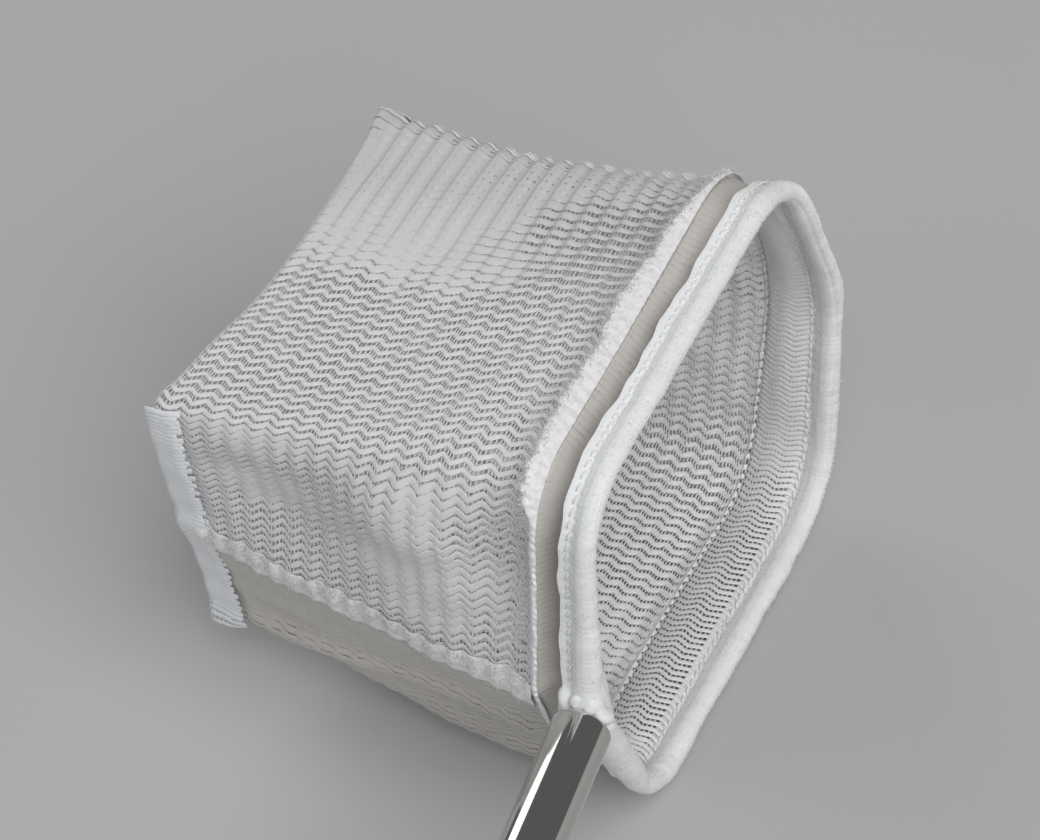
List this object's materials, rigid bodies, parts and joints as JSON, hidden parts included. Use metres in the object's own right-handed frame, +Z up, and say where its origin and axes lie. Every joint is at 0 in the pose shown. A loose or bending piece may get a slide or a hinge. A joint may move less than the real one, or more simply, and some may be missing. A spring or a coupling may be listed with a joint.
{
  "type": "aquarium fish net",
  "caption": "Small aquarium fish net: a wire hoop with a boxed white mesh pocket, carried on a sliding polished tube handle with a soft grip and a hanging eye.",
  "frame": {"origin": "on the handle axis, in the middle of the plain length of the grip where the hand holds it", "axes": "+Y along the handle towards the net, +X out of the net's mouth, +Z up with the net lying on its side; the hoop leans 6.3 degrees about Z from the handle axis"},
  "size_m": [0.0773, 0.2966, 0.075],
  "materials": {
    "polished_steel": "mirror-polished stainless tube",
    "wire_steel": "drawn steel wire",
    "nylon": "natural nylon",
    "grip_rubber": "soft matt rubber",
    "cap_plastic": "moulded plastic",
    "rim_mesh": "white knitted mesh, doubled over",
    "mesh": "white knitted zigzag mesh",
    "thread": "white sewing thread"
  },
  "bodies": {
    "handle": {"main_tube": "polished_steel", "grip": "grip_rubber", "end_cap": "cap_plastic"},
    "mid_carrier": {"mid_bush": "nylon"},
    "mid_section": {"mid_tube": "polished_steel"},
    "tip_carrier": {"tip_bush": "nylon"},
    "net_head": {"tip_tube": "polished_steel", "wire_plug": "nylon", "hoop_wire": "wire_steel", "rim_sleeve": "rim_mesh", "leg_binding": "rim_mesh", "header_band": "mesh", "rim_stitching": "thread", "front_seam": "mesh", "near_wall_upper": "mesh", "near_wall_lower": "mesh", "top_wall": "mesh", "bottom_wall": "mesh", "far_wall_upper": "mesh", "far_wall_lower": "mesh", "rear_wall": "mesh", "near_corner_seam": "mesh", "far_corner_seam": "mesh", "near_side_seam": "mesh", "far_side_seam": "mesh"}
  },
  "joints": [
    {"name": "mid_slide", "type": "slide", "parent": "handle", "child": "mid_carrier", "axis": [0, 1, 0], "range_m": [0, 0.121]},
    {"name": "mid_turn", "type": "hinge", "parent": "mid_carrier", "child": "mid_section", "pos_m": [0, 0, 0], "axis": [0, 1, 0], "continuous": true},
    {"name": "tip_slide", "type": "slide", "parent": "mid_section", "child": "tip_carrier", "axis": [0, 1, 0], "range_m": [0, 0.134]},
    {"name": "tip_turn", "type": "hinge", "parent": "tip_carrier", "child": "net_head", "pos_m": [0, 0, 0], "axis": [0, 1, 0], "continuous": true}
  ]
}
